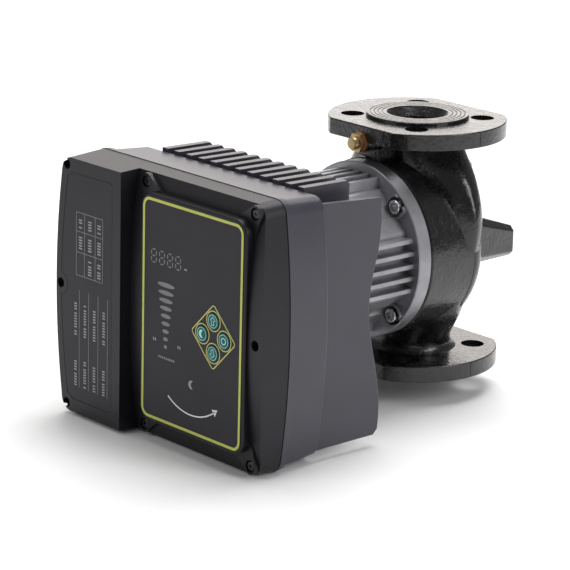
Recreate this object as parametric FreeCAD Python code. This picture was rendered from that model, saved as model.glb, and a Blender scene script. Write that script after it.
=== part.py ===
import FreeCAD, Part
import math
import os

# Flanged in-line circulator pump. Millimetres, +Z up along the pipe.
# The origin is the centre of the lower flange's bolting face.
# The motor's axis runs along Y and the control panel faces -Y.

V = FreeCAD.Vector

# Casing and pipe flanges, with Z counted from the lower sealing face
FACE_TO_FACE = 220.0
AXIS_Z = FACE_TO_FACE / 2
FLANGE_R = 76.0
FLANGE_T = 14.0
RAISED_R = 44.0
RAISED_H = 3.0
FLANGE_FLAT_FRONT = -66.0
FLANGE_FLAT_REAR = 64.0
BOLT_PCD = 110.0
BOLT_HOLE_R = 10.0
PORT_R = 20.0
PORT_MOUTH_R = 26.5
PORT_MOUTH_DEPTH = 8.0
PORT_STRAIGHT = 26.0
CAST_WAY_R = 21.0
SERRATION_R = (30.0, 33.5, 37.0, 40.5)
DRUM_R = 76.5
DRUM_FRONT = -51.2
DOME_DEPTH = 31.0
CHAMBER_R = 57.0
REGISTER_R = 60.6
REGISTER_END = -43.6
DIVIDER_FRONT = -16.0
DIVIDER_REAR = -10.0
EYE_R = 25.0
FOOT_END = 62.0
FOOT_ROOT = 12.0
FOOT_X = 53.0
FOOT_Z = 48.0
VENT_Z = 202.6
VENT_FACE = FLANGE_FLAT_FRONT
VENT_BOSS_R = 10.4
VENT_THREAD_R = 5.0
VENT_WAY_R = 2.5
WASHER_T = 1.2

# Motor
RING_R = 75.5
RING_FRONT = -65.8
RING_BACK = -51.6
MOTOR_FLAT = 58.0
MOTOR_DIAGONAL = 60.0
MOTOR_FIN_TIP = 68.6
MOTOR_FIN_T = 4.0
MOTOR_FIN_PITCH = 10.6
MOTOR_FIN_FRONT = -65.0
MOTOR_FIN_END = -156.0
MOTOR_END = -208.0
MOTOR_WALL = 6.0
SCREW_CIRCLE_R = 66.0
SCREW_THREAD_R = 4.0
SCREW_HEAD_R = 5.9
SCREW_HEAD_T = 8.0
SCREW_HEX = 6.8
POCKET_R = 8.6
SCREW_SEAT = -62.0
STATOR_R = 52.0
STATOR_BORE_R = 30.5
STATOR_FRONT = -75.0
STATOR_END = -150.0
YOKE_R = 44.0
TEETH = 12
LIP_END = -59.4
LIP_R = 43.0
CAN_R = 30.0
CAN_BORE_R = 29.4
CAN_FRONT = -52.2
CAN_END = -177.0
PLATE_BACK = -51.5
PLATE_R = 60.2
BEARING_R = 10.5
BEARING_BORE_R = 6.05
SHAFT_R = 6.0
SHAFT_TIP_R = 5.0
ROTOR_R = 28.4
MAGNETS = 6
IMPELLER_R = 50.0
IMPELLER_BACK = -40.0
IMPELLER_HUB_END = -27.0
SHROUD_BACK = -24.0
SHROUD_FRONT = -21.0
DISC_T = 3.0
BLADES = 7
SKIRT_R = 22.0

# Control box
BOX_X = -0.8
BOX_Z = 92.3
BULGE = 9.3
COVER_BACK = -252.2
COVER_TIP = -290.0
COVER_HX = 115.5
COVER_HZ = 110.0
COVER_DRAFT = 2.1
HOOD_FRONT = -289.0
HOOD_RIGHT = -39.4
PANEL_CROWN = -279.0
PANEL_CURVE_R = 658.0
WALL = 3.0
BASE_FRONT = -251.6
BASE_RIM_END = -246.0
BASE_REAR = -208.0
BASE_FLOOR = -212.0
BASE_HX = 114.0
BASE_HZ = 108.6
BASE_DRAFT = 2.4
FIN_T = 6.8
FIN_PITCH = 15.2
FIN_FIRST_X = -82.0
FIN_COUNT = 12
FIN_END = -159.0
FIN_CORNER = 3.0
FIN_TOP = 201.6
FIN_BOTTOM = -14.0
MOTOR_GAP = 72.0
BASE_SCREW_CIRCLE_R = 42.0
SIDE_PLATE_X = 106.5
SIDE_PLATE_T = 4.0
POST_R = 5.6
SCREW_R = 2.0

# Panel
PLATEAU_X = 41.8
PLATEAU_Z = 94.2
PLATEAU_HX = 63.8
PLATEAU_HZ = 94.2
PLATEAU_CORNER = 12.0
PLATEAU_FRONT = -282.0
BEZEL_SKIN = 2.5
EAR_FRONT = -274.6
EAR_SEAT = -271.9
EAR_R = 6.8
EAR_RECESS_R = 5.0
EAR_X = (-25.0, 106.3)
EAR_Z = (-8.6, 194.0)
OVERLAY_FRONT = -282.3
OVERLAY_BACK = -281.6
OVERLAY_INSET = 2.4
KEY_R = 6.5
KEY_CENTRE = (69.0, 88.8)
KEY_STEP = 13.1
KEY_FRONT = -283.1
KEY_HOLE_R = 6.8
DISPLAY = (-11.0, 32.0, 130.0, 147.5)
LED_X = 10.7
LED_TOP = 117.6
LED_PITCH = 6.35
LED_COUNT = 9
BOARD_FRONT = -275.0
BOARD_BACK = -273.4
WINDOW = (-14.0, 98.0, 12.0, 176.0)
HOOD_SCREWS = ((-109.6, 194.0), (-117.6, 92.3), (-109.6, -9.4))
SIDE_SCREW = (114.3, 92.3)

# Electronics
POWER_BACK = -236.0
POWER_FRONT = -237.6
STANDOFFS = ((-30.0, 8.0), (98.0, 8.0), (-30.0, 178.0), (98.0, 178.0))
GLAND_Y = -230.0
GLAND_Z = 47.0
GLAND_FACE = -123.5


def cyl_y(r, y0, y1, x=0.0, z=AXIS_Z):
    return Part.makeCylinder(r, y1 - y0, V(x, y0, z), V(0, 1, 0))


def cyl_z(r, z0, z1, x=0.0, y=0.0):
    return Part.makeCylinder(r, z1 - z0, V(x, y, z0), V(0, 0, 1))


def cyl_x(r, x0, x1, y, z):
    return Part.makeCylinder(r, x1 - x0, V(x0, y, z), V(1, 0, 0))


def block(x0, x1, y0, y1, z0, z1):
    return Part.makeBox(x1 - x0, y1 - y0, z1 - z0, V(x0, y0, z0))


def ring_y(outer, inner, y0, y1, x=0.0, z=AXIS_Z):
    return cyl_y(outer, y0, y1, x, z).cut(cyl_y(inner, y0 - 1, y1 + 1, x, z))


def solid_of(shape):
    return shape.Solids[0] if len(shape.Solids) == 1 else shape


def join(shapes):
    whole = solid_of(shapes[0])
    for shape in shapes[1:]:
        whole = solid_of(whole.fuse(solid_of(shape)))
    return whole


def fuse(shapes):
    return solid_of(join(shapes).removeSplitter())


def cut(shape, tools):
    left = solid_of(shape)
    for tool in tools:
        left = solid_of(left.cut(solid_of(tool)))
    return left


def lathe_y(profile, x=0.0, z=AXIS_Z):
    points = [V(x + r, y, z) for r, y in profile]
    wire = Part.makePolygon(points + [points[0]])
    return Part.Face(wire).revolve(V(x, 0, z), V(0, 1, 0), 360)


def prism_y(points, y0, y1):
    corners = [V(x, y0, z) for x, z in points]
    face = Part.Face(Part.makePolygon(corners + [corners[0]]))
    return face.extrude(V(0, y1 - y0, 0))


def prism_x(points, x0, x1):
    corners = [V(x0, y, z) for y, z in points]
    face = Part.Face(Part.makePolygon(corners + [corners[0]]))
    return face.extrude(V(x1 - x0, 0, 0))


def hex_y(across, y0, y1, x=0.0, z=AXIS_Z):
    r = across / math.sqrt(3)
    points = [(x + r * math.cos(math.radians(60 * i)), z + r * math.sin(math.radians(60 * i))) for i in range(6)]
    return prism_y(points, y0, y1)


def hex_x(across, x0, x1, y, z):
    r = across / math.sqrt(3)
    points = [(y + r * math.cos(math.radians(60 * i)), z + r * math.sin(math.radians(60 * i))) for i in range(6)]
    return prism_x(points, x0, x1)


def oval_loop(y, half_x, half_y, z):
    # closed smooth loop in a level plane, the same start for every level
    points = []
    for i in range(16):
        a = math.radians(22.5 * i)
        points.append(V(half_x * math.cos(a), y + half_y * math.sin(a), z))
    curve = Part.BSplineCurve()
    curve.interpolate(points, PeriodicFlag=True)
    return Part.Wire(curve.toShape())


def passage(levels):
    return Part.makeLoft([oval_loop(*level) for level in levels], True, False)


def turned(shape, degrees):
    copy = shape.copy()
    copy.rotate(V(0, 0, AXIS_Z), V(0, 1, 0), degrees)
    return copy


def polar(r, degrees):
    a = math.radians(degrees)
    return r * math.cos(a), AXIS_Z + r * math.sin(a)


def rounded_plate(cx, cz, half_x, half_z, corner, y0, y1):
    plate = block(cx - half_x, cx + half_x, y0, y1, cz - half_z, cz + half_z)
    corners = [e for e in plate.Edges if abs(e.Vertexes[0].Y - e.Vertexes[1].Y) > 0.9 * (y1 - y0)]
    return solid_of(plate.makeFillet(corner, corners))


def barrel_loop(half_x, half_z, y):
    # rectangle in a plane across Y whose two sides bow outwards
    x0 = BOX_X - half_x
    x1 = BOX_X + half_x
    z0 = BOX_Z - half_z
    z1 = BOX_Z + half_z
    top = Part.makeLine(V(x0, y, z1), V(x1, y, z1))
    right = Part.Arc(V(x1, y, z1), V(x1 + BULGE, y, BOX_Z), V(x1, y, z0)).toShape()
    bottom = Part.makeLine(V(x1, y, z0), V(x0, y, z0))
    side = Part.Arc(V(x0, y, z0), V(x0 - BULGE, y, BOX_Z), V(x0, y, z1)).toShape()
    return Part.Wire([top, right, bottom, side])


def barrel(half_x, half_z, y0, y1, draft, corner):
    # y0 is the large end; the draft shrinks the other end
    loops = [barrel_loop(half_x, half_z, y0), barrel_loop(half_x - draft, half_z - draft, y1)]
    solid = Part.makeLoft(loops, True, True)
    span = abs(y1 - y0)
    corners = [e for e in solid.Edges if abs(e.Vertexes[0].Y - e.Vertexes[-1].Y) > 0.9 * span]
    return solid_of(solid.makeFillet(corner, corners))


def curved_front(radius_less=0.0):
    # everything behind the bowed front face of the panel side
    centre_y = PANEL_CROWN + PANEL_CURVE_R
    return cyl_x(PANEL_CURVE_R - radius_less, -160.0, 160.0, centre_y, BOX_Z)


# ---------------------------------------------------------------- casing

def lower_neck():
    return passage([(0.0, 43.0, 39.0, AXIS_Z - 93.5),
                    (-1.5, 39.0, 33.5, AXIS_Z - 84.0),
                    (-3.0, 46.0, 32.0, AXIS_Z - 73.0),
                    (-4.0, 57.0, 32.0, AXIS_Z - 56.0),
                    (-5.0, 66.0, 32.5, AXIS_Z - 38.0),
                    (-5.0, 71.0, 33.0, AXIS_Z - 18.0)])


def upper_neck():
    # wider than the lower one, because the water leaves the wheel into it
    return passage([(-3.0, 78.0, 28.0, AXIS_Z + 4.0),
                    (-3.0, 80.5, 28.0, AXIS_Z + 22.0),
                    (-3.0, 78.5, 29.0, AXIS_Z + 40.0),
                    (-3.0, 71.5, 30.0, AXIS_Z + 58.0),
                    (-2.5, 61.0, 31.0, AXIS_Z + 73.0),
                    (-1.5, 50.0, 33.0, AXIS_Z + 84.0),
                    (0.0, 45.0, 38.0, AXIS_Z + 93.5)])


def flange(face_z, sign):
    # sign +1 points from the sealing face into the casing
    inner = face_z + sign * (RAISED_H + FLANGE_T)
    shoulder = face_z + sign * RAISED_H
    rim = cyl_z(FLANGE_R, min(shoulder, inner), max(shoulder, inner))
    rim = solid_of(rim.common(block(-90, 90, FLANGE_FLAT_FRONT, FLANGE_FLAT_REAR, -20, FACE_TO_FACE + 20)))
    upright = [e for e in rim.Edges if e.BoundBox.ZLength > 1.0 and 30.0 < abs(e.Vertexes[0].X) < 45.0]
    rim = solid_of(rim.makeFillet(6.0, upright))
    rim = solid_of(rim.makeFillet(1.0, [e for e in rim.Edges if e.BoundBox.ZLength < 0.01]))
    raised = cyl_z(RAISED_R, min(face_z, shoulder + sign * 2), max(face_z, shoulder + sign * 2))
    face_edge = [e for e in raised.Edges if e.BoundBox.ZLength < 0.01 and abs(e.BoundBox.ZMin - face_z) < 0.01]
    return rim, solid_of(raised.makeChamfer(0.8, face_edge))


def serration(radius, face_z):
    return Part.makeTorus(radius, 0.6, V(0, 0, face_z), V(0, 0, 1))


def bolt_holes(z0, z1):
    holes = []
    for i in range(4):
        a = math.radians(45 + 90 * i)
        holes.append(cyl_z(BOLT_HOLE_R, z0, z1, BOLT_PCD / 2 * math.cos(a), BOLT_PCD / 2 * math.sin(a)))
    return holes


def port(face_z, sign):
    straight = cyl_z(PORT_R, min(face_z, face_z + sign * PORT_STRAIGHT), max(face_z, face_z + sign * PORT_STRAIGHT))
    mouth = Part.makeCone(PORT_MOUTH_R, PORT_R, PORT_MOUTH_DEPTH, V(0, 0, face_z), V(0, 0, sign))
    return [straight, mouth]


def dome_point(angle):
    a = math.radians(angle)
    return V(DRUM_R * math.cos(a), DOME_DEPTH * math.sin(a), AXIS_Z)


def drum():
    # the cylinder behind the motor ring, closed by a half-ellipse dome
    rim = V(DRUM_R, 0, AXIS_Z)
    front = V(DRUM_R, DRUM_FRONT + 1.0, AXIS_Z)
    chamfer = V(DRUM_R - 1.0, DRUM_FRONT, AXIS_Z)
    centre = V(0, DRUM_FRONT, AXIS_Z)
    curve = Part.BSplineCurve()
    curve.interpolate([dome_point(15 * i) for i in range(7)])
    edges = [Part.makeLine(centre, chamfer), Part.makeLine(chamfer, front), Part.makeLine(front, rim),
             curve.toShape(), Part.makeLine(dome_point(90), centre)]
    return Part.Face(Part.Wire(edges)).revolve(V(0, 0, AXIS_Z), V(0, 1, 0), 360)


def parting_ridge():
    # low cast ridge round the drum where its straight side meets the dome
    return lathe_y([(DRUM_R - 2.0, -3.0), (DRUM_R + 0.4, -1.2), (DRUM_R + 0.4, 1.2), (DRUM_R - 2.0, 4.0)])


def foot_outline(x, y, z, half_x, half_z, bevel):
    corners = [(half_x, half_z - bevel), (half_x - bevel, half_z)]
    corners += [(-a, b) for a, b in reversed(corners)]
    corners += [(-a, -b) for a, b in corners]
    points = [V(x + a, y, z + b) for a, b in corners]
    return Part.makePolygon(points + [points[0]])


def feet():
    # four upright blocks that taper towards one rear plane
    shapes = []
    for x, z in ((FOOT_X, AXIS_Z), (-FOOT_X, AXIS_Z), (0.0, AXIS_Z + FOOT_Z), (0.0, AXIS_Z - FOOT_Z)):
        root = foot_outline(x, FOOT_ROOT, z + 8.6, 14.0, 21.4, 7.0)
        tip = foot_outline(x, FOOT_END, z, 7.8, 13.2, 4.0)
        foot = solid_of(Part.makeLoft([root, tip], True, True))
        foot = foot.makeFillet(3.5, [e for e in foot.Edges if e.BoundBox.YLength > 40.0])
        rim = [e for e in foot.Edges if e.BoundBox.YMin > FOOT_END - 0.01]
        shapes.append(solid_of(foot.makeFillet(2.2, rim)))
    return shapes


def vent_boss():
    round_part = cyl_y(VENT_BOSS_R, VENT_FACE, -20.0, 0.0, VENT_Z)
    web = prism_x([(VENT_FACE, VENT_Z - 2), (VENT_FACE, VENT_Z - 9), (DRUM_FRONT - 0.5, AXIS_Z + RING_R + 1.0),
                   (-30.0, AXIS_Z + RING_R - 20.0), (-20.0, AXIS_Z + RING_R - 20.0), (-20.0, VENT_Z - 2)], -8.0, 8.0)
    return [round_part, web]


def suction_way():
    levels = [(0.5, CAST_WAY_R, CAST_WAY_R, PORT_STRAIGHT - 0.5),
              (2.0, CAST_WAY_R, 19.6, 36.0),
              (5.0, 23.0, 15.5, 50.0),
              (7.0, 26.5, 14.0, 66.0),
              (8.0, 29.5, 14.5, 86.0),
              (8.0, 30.0, 15.0, AXIS_Z),
              (8.0, 28.0, 14.0, AXIS_Z + 16.0),
              (8.0, 19.0, 9.5, AXIS_Z + 28.0)]
    eye = cyl_y(EYE_R, DIVIDER_FRONT - 1, 2.0)
    return [passage(levels), eye]


def discharge_way():
    levels = [(-29.0, 25.0, 11.5, AXIS_Z + 34.0),
              (-28.0, 25.0, 12.0, AXIS_Z + 54.0),
              (-17.0, 23.5, 14.5, AXIS_Z + 68.0),
              (-5.5, 21.0, 17.5, AXIS_Z + 78.0),
              (-0.5, CAST_WAY_R, CAST_WAY_R, FACE_TO_FACE - PORT_STRAIGHT + 0.5)]
    return [passage(levels)]


def screw_threads():
    shapes = []
    for i in range(4):
        x, z = polar(SCREW_CIRCLE_R, 45 + 90 * i)
        shapes.append(cyl_y(SCREW_THREAD_R, DRUM_FRONT - 1, DRUM_FRONT + 18.0, x, z))
    return shapes


def volute_casing():
    low_rim, low_face = flange(0.0, 1)
    top_rim, top_face = flange(FACE_TO_FACE, -1)
    outside = join([drum(), upper_neck(), lower_neck(), low_rim, low_face, top_rim, top_face, parting_ridge()]
                   + feet() + vent_boss())
    hollows = port(0.0, 1) + port(FACE_TO_FACE, -1) + suction_way() + discharge_way()
    hollows += bolt_holes(-1.0, 30.0) + bolt_holes(FACE_TO_FACE - 30.0, FACE_TO_FACE + 1.0)
    hollows.append(cyl_y(REGISTER_R, DRUM_FRONT - 1, REGISTER_END))
    hollows.append(cyl_y(CHAMBER_R, REGISTER_END - 1, DIVIDER_FRONT))
    hollows.append(cyl_y(VENT_THREAD_R, VENT_FACE - 1, -50.0, 0.0, VENT_Z))
    hollows.append(cyl_y(VENT_WAY_R, -51.0, -16.0, 0.0, VENT_Z))
    hollows += screw_threads()
    hollows += [serration(r, 0.0) for r in SERRATION_R]
    hollows += [serration(r, FACE_TO_FACE) for r in SERRATION_R]
    return cut(outside, hollows)


def wear_ring():
    return ring_y(EYE_R, SKIRT_R + 0.35, DIVIDER_FRONT, DIVIDER_REAR)


def casing_gasket():
    return cut(ring_y(RING_R - 0.8, REGISTER_R + 0.4, RING_BACK, DRUM_FRONT), screw_threads())


def vent_plug():
    seat = VENT_FACE - WASHER_T
    thread = cyl_y(VENT_THREAD_R - 0.02, seat - 2.0, VENT_FACE + 14.0, 0.0, VENT_Z)
    grip = hex_y(15.0, seat - 4.2, seat, 0.0, VENT_Z)
    cap = lathe_y([(0.0, seat - 4.0), (0.0, seat - 9.2), (4.6, seat - 9.2), (5.3, seat - 8.5), (5.3, seat - 5.2),
                   (4.5, seat - 4.8), (4.5, seat - 4.0)], 0.0, VENT_Z)
    return fuse([thread, grip, cap])


def vent_washer():
    return ring_y(8.8, VENT_THREAD_R + 0.2, VENT_FACE - WASHER_T, VENT_FACE, 0.0, VENT_Z)


# ---------------------------------------------------------------- turning part

def blade_side(shift):
    points = []
    for i in range(7):
        r = 19.0 + (IMPELLER_R - 1.0 - 19.0) * i / 6
        a = 1.15 * math.log(r / 19.0) * 1.6 + shift / r
        points.append(V(r * math.cos(a), SHROUD_BACK, AXIS_Z + r * math.sin(a)))
    curve = Part.BSplineCurve()
    curve.interpolate(points)
    return curve.toShape(), points[0], points[-1]


def impeller():
    side_a, start_a, end_a = blade_side(-1.1)
    side_b, start_b, end_b = blade_side(1.1)
    loop = Part.Wire(Part.__sortEdges__([side_a, Part.makeLine(end_a, end_b), side_b,
                                         Part.makeLine(start_b, start_a)]))
    blade = Part.Face(loop).extrude(V(0, IMPELLER_BACK + DISC_T - SHROUD_BACK, 0))
    back = cyl_y(IMPELLER_R, IMPELLER_BACK, IMPELLER_BACK + DISC_T)
    front = ring_y(IMPELLER_R, 17.0, SHROUD_BACK, SHROUD_FRONT)
    skirt = ring_y(SKIRT_R, 19.0, SHROUD_FRONT, -11.0)
    hub = cyl_y(11.0, IMPELLER_BACK, IMPELLER_HUB_END)
    blades = [turned(blade, 360.0 * i / BLADES) for i in range(BLADES)]
    whole = fuse([back, front, skirt, hub] + blades)
    return whole.cut(cyl_y(SHAFT_R, IMPELLER_BACK - 1, -10.0))


def impeller_nut():
    return hex_y(15.0, IMPELLER_HUB_END, -20.5).cut(cyl_y(SHAFT_TIP_R, -30.0, -15.0))


def shaft():
    main = cyl_y(SHAFT_R, -173.0, IMPELLER_HUB_END)
    tip = cyl_y(SHAFT_TIP_R, IMPELLER_HUB_END, -18.5)
    whole = fuse([main, tip])
    ends = [e for e in whole.Edges if e.BoundBox.YLength < 0.01
            and (abs(e.BoundBox.YMin + 173.0) < 0.01 or abs(e.BoundBox.YMin + 18.5) < 0.01)]
    return whole.makeChamfer(0.8, ends)


def magnet_at(index):
    bar = block(-10.0, 10.0, STATOR_END + 2.0, STATOR_FRONT - 2.0, AXIS_Z + 20.5, AXIS_Z + 24.0)
    return turned(bar, 360.0 * index / MAGNETS)


def rotor_core():
    stack = ring_y(ROTOR_R, SHAFT_R, STATOR_END, STATOR_FRONT)
    return cut(stack, [magnet_at(i) for i in range(MAGNETS)])


def rotor_magnets():
    return Part.makeCompound([magnet_at(i) for i in range(MAGNETS)])


def rotor_ends():
    front = ring_y(27.0, SHAFT_R, STATOR_FRONT, STATOR_FRONT + 2.5)
    rear = ring_y(27.0, SHAFT_R, STATOR_END - 2.5, STATOR_END)
    return Part.makeCompound([front, rear])


def thrust_ring():
    return ring_y(10.0, SHAFT_R, STATOR_FRONT + 2.5, -66.2)


# ---------------------------------------------------------------- wet barrier and bearings

def front_bearing():
    return ring_y(BEARING_R, BEARING_BORE_R, -65.6, -50.0)


def rear_bearing():
    return ring_y(BEARING_R, BEARING_BORE_R, -171.0, -157.0)


def bearing_plate():
    disc = cyl_y(PLATE_R, PLATE_BACK, REGISTER_END)
    hub = cyl_y(16.0, -65.8, PLATE_BACK)
    whole = fuse([disc, hub])
    holes = [cyl_y(BEARING_R, -70.0, -50.0), cyl_y(7.0, -51.0, REGISTER_END + 1)]
    for i in range(3):
        x, z = polar(22.0, 30 + 120 * i)
        holes.append(cyl_y(2.5, PLATE_BACK - 1, REGISTER_END + 1, x, z))
    return cut(whole, holes)


def rotor_can():
    tube = cyl_y(CAN_R, CAN_END, CAN_FRONT)
    lip = cyl_y(LIP_R - 1.0, CAN_FRONT, PLATE_BACK)
    whole = fuse([tube, lip]).cut(cyl_y(CAN_BORE_R, CAN_END + 1.0, PLATE_BACK + 1))
    pocket = ring_y(BEARING_R + 1.6, BEARING_R, CAN_END + 0.5, -157.0)
    return fuse([whole, pocket])


def can_seal():
    return ring_y(48.0, 45.0, RING_BACK - 2.0, PLATE_BACK)


# ---------------------------------------------------------------- motor body

def octagon():
    reach = MOTOR_DIAGONAL * math.sqrt(2) - MOTOR_FLAT
    points = [(MOTOR_FLAT, -reach), (MOTOR_FLAT, reach), (reach, MOTOR_FLAT), (-reach, MOTOR_FLAT),
              (-MOTOR_FLAT, reach), (-MOTOR_FLAT, -reach), (-reach, -MOTOR_FLAT), (reach, -MOTOR_FLAT)]
    body = prism_y([(x, AXIS_Z + z) for x, z in points], MOTOR_END, RING_FRONT + 2.0)
    corners = [e for e in body.Edges if e.BoundBox.YLength > 50.0]
    return body.makeFillet(6.0, corners)


def motor_fins():
    fins = []
    for side in range(4):
        for i in range(5):
            across = (i - 2) * MOTOR_FIN_PITCH
            tip = MOTOR_FIN_TIP - 0.004 * across * across
            fin = block(MOTOR_FLAT - 4.0, tip, MOTOR_FIN_END, MOTOR_FIN_FRONT,
                        AXIS_Z + across - MOTOR_FIN_T / 2, AXIS_Z + across + MOTOR_FIN_T / 2)
            edges = [e for e in fin.Edges if e.BoundBox.YLength > 50.0 and e.BoundBox.XMin > tip - 0.1]
            fins.append(turned(fin.makeFillet(0.6, edges), 90.0 * side))
    return fins


def mounting_ring():
    ring = cyl_y(RING_R, RING_FRONT, RING_BACK)
    edges = [e for e in ring.Edges if e.BoundBox.YLength < 0.01]
    return ring.makeChamfer(0.8, edges)


def pocket_lips():
    lips = []
    for i in range(4):
        x, z = polar(SCREW_CIRCLE_R, 45 + 90 * i)
        lip = cyl_y(POCKET_R + 1.8, RING_FRONT - 2.6, RING_FRONT + 1.0, x, z)
        lips.append(lip.common(cyl_y(RING_R - 2.2, RING_FRONT - 4.0, RING_FRONT + 2.0)))
    return lips


def motor_housing():
    whole = fuse([octagon(), mounting_ring()] + motor_fins() + pocket_lips())
    hollows = [cyl_y(STATOR_R, MOTOR_END + MOTOR_WALL, LIP_END),
               cyl_y(CAN_R + 0.5, LIP_END - 1, RING_BACK + 1),
               cyl_y(LIP_R, CAN_FRONT - 0.2, RING_BACK + 1),
               ring_y(48.0, 45.0, RING_BACK - 2.0, RING_BACK + 1),
               block(-16.0, 16.0, MOTOR_END - 1, MOTOR_END + MOTOR_WALL + 1, AXIS_Z + 12.0, AXIS_Z + 26.0)]
    for i in range(4):
        x, z = polar(SCREW_CIRCLE_R, 45 + 90 * i)
        hollows.append(cyl_y(POCKET_R, SCREW_SEAT - 26.0, SCREW_SEAT, x, z))
        hollows.append(cyl_y(4.3, SCREW_SEAT - 1, RING_BACK + 1, x, z))
        x, z = polar(BASE_SCREW_CIRCLE_R, 45 + 90 * i)
        hollows.append(cyl_y(2.5, MOTOR_END - 1, MOTOR_END + MOTOR_WALL + 1, x, z))
    return cut(whole, hollows)


def motor_screws():
    screws = []
    for i in range(4):
        x, z = polar(SCREW_CIRCLE_R, 45 + 90 * i)
        front = SCREW_SEAT - SCREW_HEAD_T
        head = cyl_y(SCREW_HEAD_R, front, SCREW_SEAT, x, z)
        head = head.makeFillet(0.7, [e for e in head.Edges if e.BoundBox.YMax < front + 0.01])
        socket = hex_y(SCREW_HEX, front - 1.0, front + 5.0, x, z)
        shank = cyl_y(SCREW_THREAD_R, SCREW_SEAT - 0.5, DRUM_FRONT + 17.0, x, z)
        screws.append(fuse([head, shank]).cut(socket))
    return Part.makeCompound(screws)


def stator_core():
    length = (STATOR_END, STATOR_FRONT)
    yoke = ring_y(STATOR_R, YOKE_R, *length)
    tooth = block(STATOR_BORE_R - 1, YOKE_R + 2, *length, AXIS_Z - 3.4, AXIS_Z + 3.4)
    shoe = block(STATOR_BORE_R - 2, STATOR_BORE_R + 2.3, *length, AXIS_Z - 6.8, AXIS_Z + 6.8)
    limbs = []
    for i in range(TEETH):
        limbs.append(turned(tooth, 360.0 * i / TEETH))
        limbs.append(turned(shoe, 360.0 * i / TEETH))
    return fuse([yoke] + limbs).cut(cyl_y(STATOR_BORE_R, STATOR_END - 1, STATOR_FRONT + 1))


def stator_coils():
    over = 8.0
    outer = block(34.0, 42.6, STATOR_END - over, STATOR_FRONT + over, AXIS_Z - 8.4, AXIS_Z + 8.4)
    edges = [e for e in outer.Edges if e.BoundBox.XLength > 8.0]
    outer = outer.makeFillet(4.0, edges)
    inner = block(33.0, 43.6, STATOR_END - 1.0, STATOR_FRONT + 1.0, AXIS_Z - 3.6, AXIS_Z + 3.6)
    coil = outer.cut(inner)
    return Part.makeCompound([turned(coil, 360.0 * i / TEETH) for i in range(TEETH)])


# ---------------------------------------------------------------- box base

def fin_profile(top, bottom, rear):
    return [(BASE_REAR - 1.0, top), (rear - FIN_CORNER, top - 0.8), (rear, top - FIN_CORNER - 0.8),
            (rear, bottom + FIN_CORNER), (rear - FIN_CORNER, bottom), (BASE_REAR - 1.0, bottom)]


def heat_fins():
    fins = []
    for i in range(FIN_COUNT):
        x = FIN_FIRST_X + FIN_PITCH * i
        fin = prism_x(fin_profile(FIN_TOP, FIN_BOTTOM, FIN_END), x - FIN_T / 2, x + FIN_T / 2)
        edges = [e for e in fin.Edges if e.BoundBox.XLength < 0.01 and e.BoundBox.YMin > BASE_REAR - 0.5]
        fin = fin.makeFillet(2.3, edges)
        if abs(x) < MOTOR_GAP + FIN_T:
            fin = fin.cut(block(x - 5, x + 5, BASE_REAR, FIN_END + 5, AXIS_Z - MOTOR_GAP, AXIS_Z + MOTOR_GAP))
        fins.append(fin)
    return fins


def side_plate():
    # a flat plate outside the last fin, with a wavy free edge
    wave = [(-144.4, 180.0), (-144.4, 164.0), (-146.6, 146.0), (-151.2, 128.0), (-154.4, 108.0), (-154.4, 92.0),
            (-152.2, 76.0), (-147.2, 55.0), (-142.4, 32.0), (-141.0, 4.0)]
    x = SIDE_PLATE_X
    curve = Part.BSplineCurve()
    curve.interpolate([V(x, y, z) for y, z in wave])
    top = [V(x, -144.4, 180.0), V(x, -144.4, 186.6), V(x, -147.0, 189.2), V(x, BASE_REAR - 1, 193.0)]
    bottom = [V(x, BASE_REAR - 1, -8.5), V(x, -145.6, -8.0), V(x, -141.6, -4.0), V(x, -141.0, 4.0)]
    edges = [curve.toShape()]
    edges += [Part.makeLine(top[i], top[i + 1]) for i in range(3)]
    edges.append(Part.makeLine(top[3], bottom[0]))
    edges += [Part.makeLine(bottom[i], bottom[i + 1]) for i in range(3)]
    plate = Part.Face(Part.Wire(Part.__sortEdges__(edges))).extrude(V(SIDE_PLATE_T, 0, 0))
    rear = [e for e in plate.Edges if e.BoundBox.XLength < 0.01 and e.BoundBox.YMin > BASE_REAR]
    return plate.makeFillet(1.2, rear)


def cover_posts(r, y0, y1):
    spots = list(HOOD_SCREWS) + [SIDE_SCREW] + [(x, z) for x in EAR_X for z in EAR_Z]
    return [cyl_y(r, y0, y1, x, z) for x, z in spots]


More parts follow.
